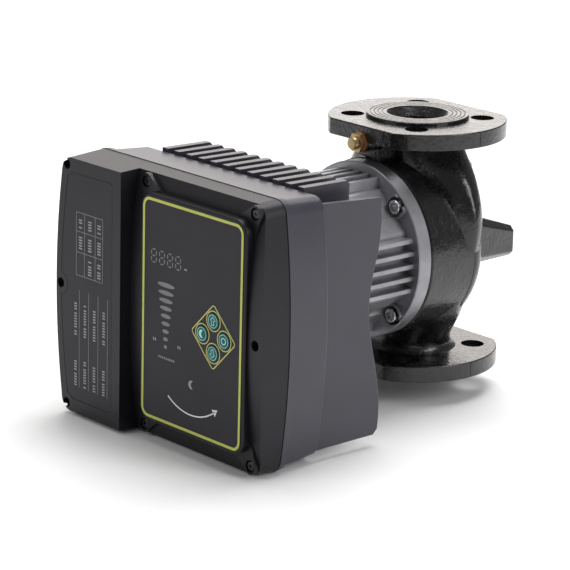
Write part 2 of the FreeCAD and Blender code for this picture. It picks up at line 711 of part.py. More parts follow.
def box_base():
    rim = barrel(COVER_HX + 0.5, COVER_HZ + 0.5, BASE_FRONT, BASE_RIM_END, 0.4, 13.0)
    body = barrel(BASE_HX, BASE_HZ, BASE_RIM_END - 1.0, BASE_REAR, BASE_DRAFT, 12.0)
    rear = [e for e in body.Edges if e.BoundBox.YMin > BASE_REAR - 0.01]
    body = body.makeFillet(2.0, rear)
    outside = fuse([rim, body])
    cavity = barrel(BASE_HX - WALL - 0.5, BASE_HZ - WALL - 0.5, BASE_FRONT - 1.0, BASE_FLOOR, BASE_DRAFT, 9.0)
    shell = cut(outside, [cavity])
    extras = [outside.common(p) for p in cover_posts(POST_R + 1.0, BASE_FRONT, BASE_FLOOR + 1)]
    extras += [cyl_y(4.5, POWER_BACK, BASE_FLOOR + 1, x, z) for x, z in STANDOFFS]
    extras.append(block(-43.0, HOOD_RIGHT - 0.6, BASE_FRONT + 4, BASE_FLOOR + 1, -12.0, 197.0))
    extras.append(cyl_x(17.0, GLAND_FACE, -108.0, GLAND_Y, GLAND_Z).cut(
        cyl_x(10.1, GLAND_FACE - 1, -100.0, GLAND_Y, GLAND_Z)))
    extras += heat_fins()
    extras.append(side_plate())
    whole = fuse([shell] + extras)
    holes = cover_posts(SCREW_R, BASE_FRONT - 1, -228.0)
    holes += [cyl_y(1.5, POWER_BACK - 1, -222.0, x, z) for x, z in STANDOFFS]
    holes.append(cyl_x(10.1, GLAND_FACE - 8, -100.0, GLAND_Y, GLAND_Z))
    holes.append(block(-16.0, 16.0, BASE_FLOOR - 1, BASE_REAR + 1, AXIS_Z + 12.0, AXIS_Z + 26.0))
    for i in range(4):
        x, z = polar(BASE_SCREW_CIRCLE_R, 45 + 90 * i)
        holes.append(cyl_y(2.7, BASE_FLOOR - 1, BASE_REAR + 1, x, z))
    holes.append(cyl_y(2.0, BASE_FLOOR - 1, BASE_FLOOR + 3, -76.0, 20.0))
    return cut(whole, holes)


def box_seal():
    outer = barrel(COVER_HX - 1.2, COVER_HZ - 1.2, -260.0, -245.0, 0.0, 12.0)
    inner = barrel(COVER_HX - 2.9, COVER_HZ - 2.9, -261.0, -244.0, 0.0, 10.0)
    band = block(-160.0, 160.0, COVER_BACK, BASE_FRONT, -60.0, 240.0)
    return cut(outer, [inner]).common(band)


def base_screws():
    screws = []
    for i in range(4):
        x, z = polar(BASE_SCREW_CIRCLE_R, 45 + 90 * i)
        head = cyl_y(4.5, BASE_FLOOR - 3.0, BASE_FLOOR, x, z)
        head = head.makeFillet(1.0, [e for e in head.Edges if e.BoundBox.YMax < BASE_FLOOR - 2.9])
        slot = hex_y(3.0, BASE_FLOOR - 4.0, BASE_FLOOR - 1.4, x, z)
        shank = cyl_y(2.5, BASE_FLOOR - 0.5, MOTOR_END + MOTOR_WALL - 0.5, x, z)
        screws.append(fuse([head, shank]).cut(slot))
    return Part.makeCompound(screws)


# ---------------------------------------------------------------- front cover

def cover_solid(less):
    body = barrel(COVER_HX - less, COVER_HZ - less, COVER_BACK, COVER_TIP, COVER_DRAFT, 12.0 - less)
    hood = block(-160.0, HOOD_RIGHT - less, HOOD_FRONT + less, COVER_BACK + 1, -60.0, 240.0)
    return solid_of(body.common(fuse([curved_front(less), hood])))


def front_cover():
    outside = cover_solid(0.0)
    shell = cut(outside, [cover_solid(WALL)])
    posts = [outside.common(p) for p in cover_posts(POST_R + 0.6, -295.0, COVER_BACK)]
    whole = fuse([shell] + posts)
    cuts = [cyl_y(4.3, -295.0, -262.0, x, z) for x, z in list(HOOD_SCREWS) + [SIDE_SCREW]]
    cuts += cover_posts(SCREW_R + 0.3, -295.0, COVER_BACK + 1)
    x0, x1, z0, z1 = WINDOW
    cuts.append(block(x0, x1, -285.0, -262.0, z0, z1))
    cuts.append(label_solid(0.0).common(block(-160, 0, -290, HOOD_FRONT + 0.6, -60, 240)))
    return cut(whole, cuts)


def label_solid(less):
    # a plate as deep as the hood face, with bites round the screws
    z0 = -4.2 + less
    z1 = 188.8 - less
    left = -107.6 + less
    right = -50.0 - less
    y = HOOD_FRONT - 0.4
    edges = [Part.makeLine(V(left, y, z1), V(right, y, z1)), Part.makeLine(V(right, y, z1), V(right, y, z0)),
             Part.makeLine(V(right, y, z0), V(left, y, z0)),
             Part.Arc(V(left, y, z0), V(left - BULGE, y, BOX_Z), V(left, y, z1)).toShape()]
    plate = Part.Face(Part.Wire(edges)).extrude(V(0, 0.9, 0))
    corners = [e for e in plate.Edges if e.BoundBox.YLength > 0.8]
    plate = plate.makeFillet(3.0, corners)
    return cut(plate, [cyl_y(9.0 + less, y - 1, y + 2, x, z) for x, z in HOOD_SCREWS])


def rating_label():
    return label_solid(0.35).common(block(-160, 0, HOOD_FRONT + 0.1, HOOD_FRONT + 0.5, -60, 240))


def cover_screws():
    screws = []
    for x, z in list(HOOD_SCREWS) + [SIDE_SCREW]:
        head = cyl_y(3.7, -265.0, -262.0, x, z)
        head = head.makeFillet(0.8, [e for e in head.Edges if e.BoundBox.YMax < -264.9])
        slot = hex_y(2.6, -266.0, -263.4, x, z)
        screws.append(fuse([head, cyl_y(SCREW_R, -262.5, -229.0, x, z)]).cut(slot))
    return Part.makeCompound(screws)


# ---------------------------------------------------------------- panel

def ear(x, z):
    sx = 1 if x > PLATEAU_X else -1
    sz = 1 if z > PLATEAU_Z else -1
    side = PLATEAU_X + sx * (PLATEAU_HX - 1.0)
    level = PLATEAU_Z + sz * (PLATEAU_HZ - 1.0)
    outline = [(x + sx * EAR_R * 0.92, z - sz * EAR_R * 0.38), (side, z - sz * 30.0),
               (side - sx * 12.0, z - sz * 30.0), (x - sx * 22.0, level), (x - sx * EAR_R * 0.38, z + sz * EAR_R * 0.92)]
    web = prism_y(outline, EAR_FRONT, -262.0)
    return [web, cyl_y(EAR_R, EAR_FRONT, -262.0, x, z)]


def overlay_plate(y0, y1, less=0.0):
    inset = OVERLAY_INSET + less
    return rounded_plate(PLATEAU_X, PLATEAU_Z, PLATEAU_HX - inset, PLATEAU_HZ - inset,
                         PLATEAU_CORNER - inset, y0, y1)


def key_spots():
    cx, cz = KEY_CENTRE
    return {"key_up": (cx, cz + KEY_STEP), "key_down": (cx, cz - KEY_STEP),
            "key_night": (cx - KEY_STEP, cz), "key_power": (cx + KEY_STEP, cz)}


def led_solid(index, y0, y1):
    half_w = 10.6 - 1.1 * index
    half_h = 1.9 - 0.05 * index
    z = LED_TOP - LED_PITCH * index
    ellipse = Part.Ellipse(V(LED_X, y0, z), half_w, half_h)
    shape = ellipse.toShape()
    shape.rotate(V(LED_X, y0, z), V(1, 0, 0), 90)
    return Part.Face(Part.Wire(shape)).extrude(V(0, y1 - y0, 0))


def panel_openings(y0, y1):
    x0, x1, z0, z1 = DISPLAY
    tools = [block(x0, x1, y0, y1, z0, z1)]
    tools += [cyl_y(KEY_HOLE_R, y0, y1, x, z) for x, z in key_spots().values()]
    tools += [led_solid(i, y0, y1) for i in range(LED_COUNT)]
    return tools


def panel_bezel():
    plateau = rounded_plate(PLATEAU_X, PLATEAU_Z, PLATEAU_HX, PLATEAU_HZ, PLATEAU_CORNER, PLATEAU_FRONT, -262.0)
    front = [e for e in plateau.Edges if e.BoundBox.YMax < PLATEAU_FRONT + 0.01]
    plateau = plateau.makeFillet(1.6, front)
    parts = [plateau]
    for x in EAR_X:
        for z in EAR_Z:
            parts += ear(x, z)
    whole = cut(fuse(parts), [curved_front()])
    hollow = rounded_plate(PLATEAU_X, PLATEAU_Z, PLATEAU_HX - BEZEL_SKIN, PLATEAU_HZ - BEZEL_SKIN,
                           PLATEAU_CORNER - BEZEL_SKIN, PLATEAU_FRONT + BEZEL_SKIN, -255.0)
    cuts = [hollow, overlay_plate(PLATEAU_FRONT - 1, OVERLAY_BACK)]
    cuts += panel_openings(-285.0, -278.0)
    for x in EAR_X:
        for z in EAR_Z:
            cuts.append(cyl_y(EAR_RECESS_R, EAR_FRONT - 1, EAR_SEAT, x, z))
            cuts.append(cyl_y(SCREW_R + 0.3, EAR_FRONT - 1, -262.0, x, z))
    whole = cut(whole, cuts)
    pillars = [cyl_y(3.0, PLATEAU_FRONT + BEZEL_SKIN - 0.5, BOARD_FRONT, x, z)
               for x in (-8.0, 92.0) for z in (18.0, 170.0)]
    return fuse([whole] + pillars)


def bezel_screws():
    screws = []
    for x in EAR_X:
        for z in EAR_Z:
            head = cyl_y(3.9, EAR_SEAT - 1.9, EAR_SEAT, x, z)
            head = head.makeFillet(0.8, [e for e in head.Edges if e.BoundBox.YMax < EAR_SEAT - 1.8])
            slots = [block(x - 2.4, x + 2.4, EAR_SEAT - 3, EAR_SEAT - 0.8, z - 0.45, z + 0.45),
                     block(x - 0.45, x + 0.45, EAR_SEAT - 3, EAR_SEAT - 0.8, z - 2.4, z + 2.4)]
            screws.append(cut(fuse([head, cyl_y(SCREW_R, EAR_SEAT - 0.5, -229.0, x, z)]), slots))
    return Part.makeCompound(screws)


def panel_overlay():
    return cut(overlay_plate(OVERLAY_FRONT, OVERLAY_BACK, 0.05), panel_openings(-285.0, -278.0))


def led_lenses():
    return Part.makeCompound([led_solid(i, OVERLAY_FRONT - 0.1, PLATEAU_FRONT + BEZEL_SKIN)
                              for i in range(LED_COUNT)])


def digit_display():
    x0, x1, z0, z1 = DISPLAY
    return block(x0, x1, OVERLAY_FRONT, BOARD_FRONT, z0, z1)


def key(x, z):
    face = cyl_y(KEY_R, KEY_FRONT, PLATEAU_FRONT + BEZEL_SKIN + 0.3, x, z)
    face = face.makeFillet(0.6, [e for e in face.Edges if e.BoundBox.YMax < KEY_FRONT + 0.01])
    collar = cyl_y(KEY_R + 1.2, PLATEAU_FRONT + BEZEL_SKIN + 0.2, -278.3, x, z)
    return fuse([face, collar])


def key_switches():
    switches = []
    for x, z in key_spots().values():
        case = block(x - 3.0, x + 3.0, -277.1, BOARD_FRONT, z - 3.0, z + 3.0)
        switches.append(fuse([case, cyl_y(1.7, -277.7, -277.0, x, z)]))
    return Part.makeCompound(switches)


def display_board():
    board = block(-12.0, 96.0, BOARD_FRONT, BOARD_BACK, 14.0, 174.0)
    return cut(board, [cyl_y(1.6, -280.0, -270.0, x, z) for x in (-8.0, 92.0) for z in (18.0, 170.0)])


# ---------------------------------------------------------------- electronics

def power_board():
    board = block(-36.0, 104.0, POWER_FRONT, POWER_BACK, 1.0, 186.0)
    return cut(board, [cyl_y(1.7, -240.0, -230.0, x, z) for x, z in STANDOFFS])


def board_screws():
    screws = []
    for x, z in STANDOFFS:
        head = cyl_y(3.0, POWER_FRONT - 2.2, POWER_FRONT, x, z)
        slot = block(x - 2.2, x + 2.2, POWER_FRONT - 3, POWER_FRONT - 1.2, z - 0.4, z + 0.4)
        screws.append(fuse([head, cyl_y(1.5, POWER_FRONT - 0.5, -223.0, x, z)]).cut(slot))
    return Part.makeCompound(screws)


def capacitors():
    cans = []
    for x, z in ((82.0, 150.0), (82.0, 122.0), (54.0, 150.0)):
        can = cyl_y(11.0, -263.0, POWER_FRONT, x, z)
        cans.append(can.makeFillet(1.5, [e for e in can.Edges if e.BoundBox.YMax < -262.9]))
    return Part.makeCompound(cans)


def choke():
    core = ring_y(16.0, 7.0, POWER_FRONT - 14.0, POWER_FRONT, 8.0, 148.0)
    return core.makeFillet(2.5, [e for e in core.Edges if e.BoundBox.YLength < 0.01])


def power_module():
    return block(12.0, 84.0, POWER_BACK, BASE_FLOOR - 1.0, 24.0, 62.0)


def thermal_pad():
    return block(12.0, 84.0, BASE_FLOOR - 1.0, BASE_FLOOR, 24.0, 62.0)


def board_link():
    return block(-8.0, 20.0, BOARD_BACK, POWER_FRONT, 40.0, 47.0)


def motor_plug():
    return block(-15.6, 15.6, POWER_BACK, MOTOR_END + MOTOR_WALL + 3, AXIS_Z + 12.4, AXIS_Z + 25.6)


def terminal_block():
    case = block(-98.0, -56.0, BASE_FLOOR - 20.0, BASE_FLOOR, 110.0, 132.0)
    holes = []
    for i in range(3):
        x = -91.0 + 14.0 * i
        holes.append(cyl_y(3.0, BASE_FLOOR - 21.0, BASE_FLOOR - 8.0, x, 125.0))
        holes.append(cyl_z(2.6, 109.0, 121.0, x, BASE_FLOOR - 10.0))
    return cut(case, holes)


def earth_screw():
    head = hex_y(7.0, BASE_FLOOR - 4.0, BASE_FLOOR, -76.0, 20.0)
    return fuse([head, cyl_y(2.0, BASE_FLOOR - 1, BASE_FLOOR + 2.8, -76.0, 20.0)])


def gland_body():
    grip = hex_x(24.0, GLAND_FACE - 5.0, GLAND_FACE, GLAND_Y, GLAND_Z)
    thread = cyl_x(10.0, GLAND_FACE - 14.0, -102.0, GLAND_Y, GLAND_Z)
    bore = cyl_x(7.4, GLAND_FACE - 20.0, -100.0, GLAND_Y, GLAND_Z)
    return fuse([grip, thread]).cut(bore)


def gland_cap():
    grip = hex_x(24.0, GLAND_FACE - 15.0, GLAND_FACE - 5.4, GLAND_Y, GLAND_Z)
    nose = Part.makeCone(11.4, 8.6, 7.0, V(GLAND_FACE - 15.0, GLAND_Y, GLAND_Z), V(-1, 0, 0))
    cavity = cyl_x(10.0, GLAND_FACE - 14.0, GLAND_FACE, GLAND_Y, GLAND_Z)
    mouth = cyl_x(6.2, GLAND_FACE - 30.0, GLAND_FACE, GLAND_Y, GLAND_Z)
    return cut(fuse([grip, nose]), [cavity, mouth])


def gland_seal():
    ring = cyl_x(7.4, GLAND_FACE - 14.0, GLAND_FACE - 4.0, GLAND_Y, GLAND_Z)
    return ring.cut(cyl_x(4.5, GLAND_FACE - 16.0, GLAND_FACE, GLAND_Y, GLAND_Z))


def gland_nut():
    nut = hex_x(24.0, -107.8, -103.4, GLAND_Y, GLAND_Z)
    return nut.cut(cyl_x(10.0, -110.0, -100.0, GLAND_Y, GLAND_Z))


BUILDERS = [volute_casing, wear_ring, casing_gasket, vent_plug, vent_washer, impeller, impeller_nut, shaft,
            rotor_core, rotor_magnets, rotor_ends, thrust_ring, front_bearing, rear_bearing, bearing_plate,
            rotor_can, can_seal, motor_housing, motor_screws, stator_core, stator_coils, box_base, box_seal,
            base_screws, front_cover, rating_label, cover_screws, panel_bezel, bezel_screws, panel_overlay,
            led_lenses, digit_display, key_switches, display_board, power_board, board_screws, capacitors,
            choke, power_module, thermal_pad, board_link, motor_plug, terminal_block, earth_screw,
            gland_body, gland_cap, gland_seal, gland_nut]

os.makedirs("parts", exist_ok=True)
shapes = {builder.__name__: builder() for builder in BUILDERS}
for name, spot in key_spots().items():
    shapes[name] = key(*spot)
for name, shape in shapes.items():
    # the bolting face lies one raised face above the sealing face that the sizes count from
    shape.translate(V(0, 0, -RAISED_H))
    shape.exportStep("parts/" + name + ".step")
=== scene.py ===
import math

import bmesh
import bpy
from mathutils import Matrix, Vector


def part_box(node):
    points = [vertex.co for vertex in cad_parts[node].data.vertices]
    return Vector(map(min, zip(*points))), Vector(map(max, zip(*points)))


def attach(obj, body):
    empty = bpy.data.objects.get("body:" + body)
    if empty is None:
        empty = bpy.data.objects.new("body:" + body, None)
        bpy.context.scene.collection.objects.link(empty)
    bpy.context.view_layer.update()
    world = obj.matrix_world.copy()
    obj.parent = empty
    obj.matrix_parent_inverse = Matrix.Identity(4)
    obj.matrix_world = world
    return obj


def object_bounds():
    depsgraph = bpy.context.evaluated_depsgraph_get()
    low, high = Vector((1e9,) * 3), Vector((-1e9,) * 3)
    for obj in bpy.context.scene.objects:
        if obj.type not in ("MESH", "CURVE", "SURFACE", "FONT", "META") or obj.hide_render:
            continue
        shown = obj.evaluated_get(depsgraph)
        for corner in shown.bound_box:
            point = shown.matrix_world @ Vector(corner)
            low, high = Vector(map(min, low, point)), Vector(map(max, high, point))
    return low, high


# Looks for the flanged circulator pump. Metres, in the CAD model's own frame.
# The pipe runs along Z, the motor along Y, and the control panel faces -Y.

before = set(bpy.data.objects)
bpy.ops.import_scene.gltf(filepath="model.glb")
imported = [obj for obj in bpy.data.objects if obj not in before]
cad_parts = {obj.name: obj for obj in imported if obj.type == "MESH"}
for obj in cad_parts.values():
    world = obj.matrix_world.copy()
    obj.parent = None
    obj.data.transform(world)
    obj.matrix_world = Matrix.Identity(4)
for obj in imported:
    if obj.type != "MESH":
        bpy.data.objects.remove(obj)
cad_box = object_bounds()

MM = 0.001
MAIN_BODY = "pump_body"

# Camera: a long lens, a little above the pump, turned to its right front corner
CAMERA_AZIMUTH = 47.97
CAMERA_ELEVATION = 15.8
CAMERA_ROLL = 1.41
CAMERA_DISTANCE = 2.354
CAMERA_LENS = 172.1
CAMERA_AIM_SIDE = -0.1088
CAMERA_AIM_HEIGHT = 0.0616

# Panel print: how far it stands proud, and the yellow border
INK = 0.12 * MM
BORDER_INSET = 1.8 * MM
BORDER_WIDTH = 2.3 * MM
BORDER_CORNER = 7.0 * MM
KEY_NAMES = ("key_up", "key_down", "key_night", "key_power")

# How far the flanges' rims reach from the pipe's axis, where the mould seams sit
FLANGE_REACH = 76.0 * MM

# The floor lies this far under the lowest point
FLOOR_GAP = 0.5 * MM

# Noise values mostly fall between these two
NOISE_LOW = 0.3
NOISE_HIGH = 0.7

# Inks (linear colour)
MINT = (0.36, 0.82, 0.72, 1.0)
YELLOW = (0.50, 0.54, 0.085, 1.0)
THIN_YELLOW = (0.55, 0.52, 0.14, 1.0)
WHITE_INK = (0.74, 0.74, 0.75, 1.0)
PALE_INK = (0.30, 0.30, 0.31, 1.0)
DIM_INK = (0.20, 0.20, 0.215, 1.0)


# ------------------------------------------------------------------ materials

class Nodes:
    """Short names for building one material."""

    def __init__(self, name):
        self.material = bpy.data.materials.new(name)
        self.material.use_nodes = True
        self.tree = self.material.node_tree
        self.shader = self.tree.nodes["Principled BSDF"]
        self.coords = self.add("ShaderNodeTexCoord").outputs["Object"]

    def add(self, kind, **settings):
        node = self.tree.nodes.new(kind)
        for key, value in settings.items():
            setattr(node, key, value)
        return node

    def link(self, out, socket):
        self.tree.links.new(out, socket)

    def noise(self, scale, detail=3.0, rough=0.5, stretch=(1.0, 1.0, 1.0)):
        mapping = self.add("ShaderNodeMapping")
        mapping.inputs["Scale"].default_value = stretch
        self.link(self.coords, mapping.inputs["Vector"])
        node = self.add("ShaderNodeTexNoise")
        node.inputs["Scale"].default_value = scale
        node.inputs["Detail"].default_value = detail
        node.inputs["Roughness"].default_value = rough
        self.link(mapping.outputs["Vector"], node.inputs["Vector"])
        return node.outputs["Fac"]

    def ramp(self, fac, stops):
        node = self.add("ShaderNodeValToRGB")
        ramp = node.color_ramp
        ramp.elements[0].position, ramp.elements[0].color = stops[0]
        ramp.elements[1].position, ramp.elements[1].color = stops[-1]
        for position, color in stops[1:-1]:
            element = ramp.elements.new(position)
            element.color = color
        self.link(fac, node.inputs["Fac"])
        return node.outputs["Color"]

    def spread(self, fac, low, high):
        node = self.add("ShaderNodeMapRange")
        node.inputs["From Min"].default_value = NOISE_LOW
        node.inputs["From Max"].default_value = NOISE_HIGH
        node.inputs["To Min"].default_value = low
        node.inputs["To Max"].default_value = high
        self.link(fac, node.inputs["Value"])
        return node.outputs["Result"]

    def bump(self, heights):
        normal = None
        for height, distance, strength in heights:
            node = self.add("ShaderNodeBump")
            node.inputs["Distance"].default_value = distance
            node.inputs["Strength"].default_value = strength
            self.link(height, node.inputs["Height"])
            if normal is not None:
                self.link(normal, node.inputs["Normal"])
            normal = node.outputs["Normal"]
        self.link(normal, self.shader.inputs["Normal"])

    def set(self, **values):
        names = {"metallic": "Metallic", "roughness": "Roughness", "coat": "Coat Weight",
                 "coat_roughness": "Coat Roughness", "specular": "Specular IOR Level"}
        for key, value in values.items():
            self.shader.inputs[names[key]].default_value = value

    def color(self, out):
        self.link(out, self.shader.inputs["Base Color"])

    def rough(self, out):
        self.link(out, self.shader.inputs["Roughness"])


def grey(value, tint=1.0):
    return (value, value, value * tint, 1.0)


def casing_paint():
    # thick black enamel over a sand-cast skin
    m = Nodes("casing_enamel")
    skin = m.noise(330.0, 3.0, 0.55)
    swell = m.noise(70.0, 2.0, 0.5)
    m.color(m.ramp(swell, [(0.3, grey(0.0035, 1.15)), (0.7, grey(0.007, 1.15))]))
    m.rough(m.spread(skin, 0.17, 0.30))
    m.set(coat=0.3, coat_roughness=0.10, specular=0.5)
    m.bump([(swell, 0.0018, 0.4), (skin, 0.0007, 0.7)])
    return m.material


def motor_aluminium():
    m = Nodes("cast_aluminium")
    grain = m.noise(1500.0, 2.0, 0.6)
    cloud = m.noise(38.0, 4.0, 0.6)
    m.color(m.ramp(cloud, [(0.3, grey(0.27, 1.06)), (0.7, grey(0.37, 1.06))]))
    m.rough(m.spread(grain, 0.38, 0.54))
    m.set(metallic=0.9)
    m.bump([(cloud, 0.0006, 0.25), (grain, 0.00012, 0.5)])
    return m.material


def moulded(name, base, roughness, grain_scale=1900.0, grain_depth=0.00006, specular=0.5):
    # fine spark-eroded grain with faint flow clouds
    m = Nodes(name)
    grain = m.noise(grain_scale, 2.0, 0.65)
    cloud = m.noise(24.0, 3.0, 0.5)
    low = tuple(c * 0.90 for c in base[:3]) + (1.0,)
    high = tuple(c * 1.10 for c in base[:3]) + (1.0,)
    m.color(m.ramp(cloud, [(0.3, low), (0.7, high)]))
    m.rough(m.spread(grain, roughness - 0.05, roughness + 0.07))
    m.set(specular=specular)
    m.bump([(grain, grain_depth, 0.6)])
    return m.material


def turned_metal(name, base, roughness, line_scale=2600.0, stretch=(1.0, 0.04, 1.0), metallic=1.0):
    m = Nodes(name)
    lines = m.noise(line_scale, 2.0, 0.6, stretch)
    stain = m.noise(160.0, 4.0, 0.6)
    low = tuple(c * 0.80 for c in base[:3]) + (1.0,)
    m.color(m.ramp(stain, [(0.32, low), (0.62, base)]))
    m.rough(m.spread(stain, roughness + 0.08, roughness - 0.04))
    m.set(metallic=metallic)
    m.bump([(lines, 0.00004, 0.5)])
    return m.material


def ink(name, base, roughness=0.5):
    # printed ink keeps a slight unevenness
    m = Nodes(name)
    dots = m.noise(900.0, 2.0, 0.5)
    low = tuple(c * 0.88 for c in base[:3]) + (1.0,)
    m.color(m.ramp(dots, [(0.3, low), (0.7, base)]))
    m.rough(m.spread(dots, roughness - 0.06, roughness + 0.06))
    return m.material


def rubber():
    m = Nodes("seal_rubber")
    bloom = m.noise(420.0, 3.0, 0.6)
    m.color(m.ramp(bloom, [(0.3, grey(0.010)), (0.7, grey(0.022))]))
    m.rough(m.spread(bloom, 0.62, 0.8))
    m.bump([(bloom, 0.0001, 0.4)])
    return m.material


def laminations():
    m = Nodes("lamination_stack")
    sheets = m.noise(2000.0, 1.0, 0.4, (0.02, 1.0, 0.02))
    m.color(m.ramp(sheets, [(0.4, grey(0.16, 1.05)), (0.6, grey(0.30, 1.05))]))
    m.rough(m.spread(sheets, 0.4, 0.6))
    m.set(metallic=0.9)
    m.bump([(sheets, 0.0001, 0.6)])
    return m.material


def winding():
    m = Nodes("enamelled_copper")
    strands = m.noise(1600.0, 1.0, 0.4, (1.0, 0.05, 1.0))
    m.color(m.ramp(strands, [(0.35, (0.30, 0.09, 0.03, 1.0)), (0.65, (0.62, 0.24, 0.09, 1.0))]))
    m.rough(m.spread(strands, 0.28, 0.42))
    m.set(metallic=0.8, coat=0.4)
    m.bump([(strands, 0.0002, 0.8)])
    return m.material


def circuit_board():
    m = Nodes("solder_mask")
    tracks = m.noise(260.0, 0.0, 0.0, (1.0, 1.0, 0.2))
    m.color(m.ramp(tracks, [(0.47, (0.010, 0.080, 0.035, 1.0)), (0.53, (0.018, 0.135, 0.060, 1.0))]))
    m.rough(m.spread(tracks, 0.32, 0.42))
    m.bump([(tracks, 0.00008, 0.5)])
    return m.material


def node_materials():
    enamel = casing_paint()
    aluminium = motor_aluminium()
    base = moulded("base_satin_grey", (0.036, 0.034, 0.047), 0.36, 1500.0, 0.00008, 0.5)
    cover = moulded("cover_charcoal", (0.010, 0.009, 0.0125), 0.40, specular=0.3)
    bezel = moulded("bezel_charcoal", (0.0075, 0.007, 0.0092), 0.36, specular=0.3)
    overlay = moulded("overlay_film", (0.0200, 0.0186, 0.0245), 0.52, 2600.0, 0.00002, 0.25)
    label = moulded("label_film", (0.0215, 0.0200, 0.0250), 0.48, 2600.0, 0.00002, 0.25)
    lens = moulded("lens_pale", (0.185, 0.185, 0.195), 0.40, 900.0, 0.00003, 0.3)
    display = moulded("display_window", (0.0185, 0.0172, 0.0225), 0.50, 2600.0, 0.00001, 0.25)
    key = moulded("key_teal", (0.002, 0.085, 0.078), 0.40, 1200.0, 0.00003, 0.3)
    zinc = turned_metal("bright_zinc", (0.74, 0.74, 0.76, 1.0), 0.24)
    black = turned_metal("black_oxide", (0.055, 0.055, 0.06, 1.0), 0.24, metallic=0.8)
    steel = turned_metal("stainless", (0.60, 0.60, 0.62, 1.0), 0.28)
    brass = turned_metal("machined_brass", (0.60, 0.45, 0.24, 1.0), 0.30)
    copper = turned_metal("copper_washer", (0.75, 0.34, 0.17, 1.0), 0.35)
    magnet = turned_metal("nickel_plate", (0.50, 0.49, 0.47, 1.0), 0.25)
    carbon = moulded("carbon_graphite", (0.03, 0.03, 0.033), 0.30)
    part = moulded("black_moulding", (0.018, 0.018, 0.020), 0.42)
    ferrite = moulded("coated_core", (0.50, 0.33, 0.06), 0.35)
    composite = moulded("impeller_composite", (0.09, 0.09, 0.09), 0.45)
    pad = moulded("thermal_pad", (0.30, 0.31, 0.34), 0.8)
    return {
        enamel: ["volute_casing"],
        aluminium: ["motor_housing"],
        base: ["box_base"],
        cover: ["front_cover"],
        bezel: ["panel_bezel"],
        overlay: ["panel_overlay"],
        label: ["rating_label"],
        lens: ["led_lenses"],
        display: ["digit_display"],
        key: list(KEY_NAMES),
        zinc: ["motor_screws", "base_screws", "board_screws"],
        black: ["cover_screws", "bezel_screws"],
        steel: ["wear_ring", "impeller_nut", "shaft", "rotor_ends", "bearing_plate", "rotor_can"],
        brass: ["vent_plug", "earth_screw"],
        copper: ["vent_washer"],
        magnet: ["rotor_magnets"],
        carbon: ["thrust_ring", "front_bearing", "rear_bearing"],
        part: ["key_switches", "capacitors", "power_module", "board_link", "motor_plug", "terminal_block",
               "gland_body", "gland_cap", "gland_nut"],
        ferrite: ["choke"],
        composite: ["impeller"],
        pad: ["thermal_pad"],
        rubber(): ["casing_gasket", "can_seal", "box_seal", "gland_seal"],
        laminations(): ["rotor_core", "stator_core"],
        winding(): ["stator_coils"],
        circuit_board(): ["display_board", "power_board"],
    }


def dress_nodes():
    for material, names in node_materials().items():
        for name in names:
            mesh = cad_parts[name].data
            mesh.materials.clear()
            mesh.materials.append(material)
            if name == "volute_casing":
                casing_seams(material)


# ------------------------------------------------------------------ print on the panel

def ribbon(name, path, width, depth_y, material, closed=False, body=MAIN_BODY):
    """A thin printed line along an (x, z) path in metres, standing INK proud of depth_y."""
    count = len(path)
    mesh = bpy.data.meshes.new(name)
    work = bmesh.new()
    sides = []
    for i, (x, z) in enumerate(path):
        before = path[(i - 1) % count] if closed or i > 0 else path[i]
        after = path[(i + 1) % count] if closed or i < count - 1 else path[i]
        along = Vector((after[0] - before[0], after[1] - before[1])).normalized()
        across = Vector((-along.y, along.x)) * (width / 2)
        corners = []
        for sign in (1, -1):
            for y in (depth_y, depth_y - INK):
                corners.append(work.verts.new((x + sign * across.x, y, z + sign * across.y)))
        sides.append(corners)
    last = count if closed else count - 1
    for i in range(last):
        a = sides[i]
        b = sides[(i + 1) % count]
        work.faces.new((a[1], b[1], b[3], a[3]))
        work.faces.new((a[0], b[0], b[1], a[1]))
        work.faces.new((a[3], b[3], b[2], a[2]))
        work.faces.new((a[2], b[2], b[0], a[0]))
    if not closed:
        for ends in (sides[0], sides[-1]):
            work.faces.new((ends[0], ends[1], ends[3], ends[2]))
    bmesh.ops.recalc_face_normals(work, faces=work.faces)
    work.to_mesh(mesh)
    work.free()
    return place(name, mesh, material, body)


def place(name, mesh, material, body):
    piece = bpy.data.objects.new(name, mesh)
    bpy.context.scene.collection.objects.link(piece)
    mesh.materials.append(material)
    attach(piece, body)
    return piece


def patch(name, outline, depth_y, material, body=MAIN_BODY):
    """A thin printed area with the given (x, z) outline."""
    mesh = bpy.data.meshes.new(name)
    work = bmesh.new()
    back = [work.verts.new((x, depth_y, z)) for x, z in outline]
    front = [work.verts.new((x, depth_y - INK, z)) for x, z in outline]
    work.faces.new(front)
    work.faces.new(list(reversed(back)))
    for i in range(len(outline)):
        j = (i + 1) % len(outline)
        work.faces.new((back[i], back[j], front[j], front[i]))
    bmesh.ops.recalc_face_normals(work, faces=work.faces)
    work.to_mesh(mesh)
    work.free()
    return place(name, mesh, material, body)


def arc(cx, cz, r, start, end, steps):
    points = []
    for i in range(steps + 1):
        a = math.radians(start + (end - start) * i / steps)
        points.append((cx + r * math.cos(a), cz + r * math.sin(a)))
    return points


def circle(cx, cz, r, steps=40):
    return arc(cx, cz, r, 0.0, 360.0, steps)[:-1]


def crescent(cx, cz, r):
    # a moon whose horns point right: the outer arc, then the hollow side back again
    outer = arc(cx, cz, r, 62, 298, 20)
    tip_x = r * math.cos(math.radians(62))
    tip_z = r * math.sin(math.radians(62))
    middle = tip_x + 0.30 * r
    reach = math.hypot(tip_x - middle, tip_z)
    start = math.degrees(math.atan2(-tip_z, tip_x - middle)) + 360.0
    inner = arc(cx + middle, cz, reach, start, 360.0 - start, 20)
    return outer, inner[1:-1]


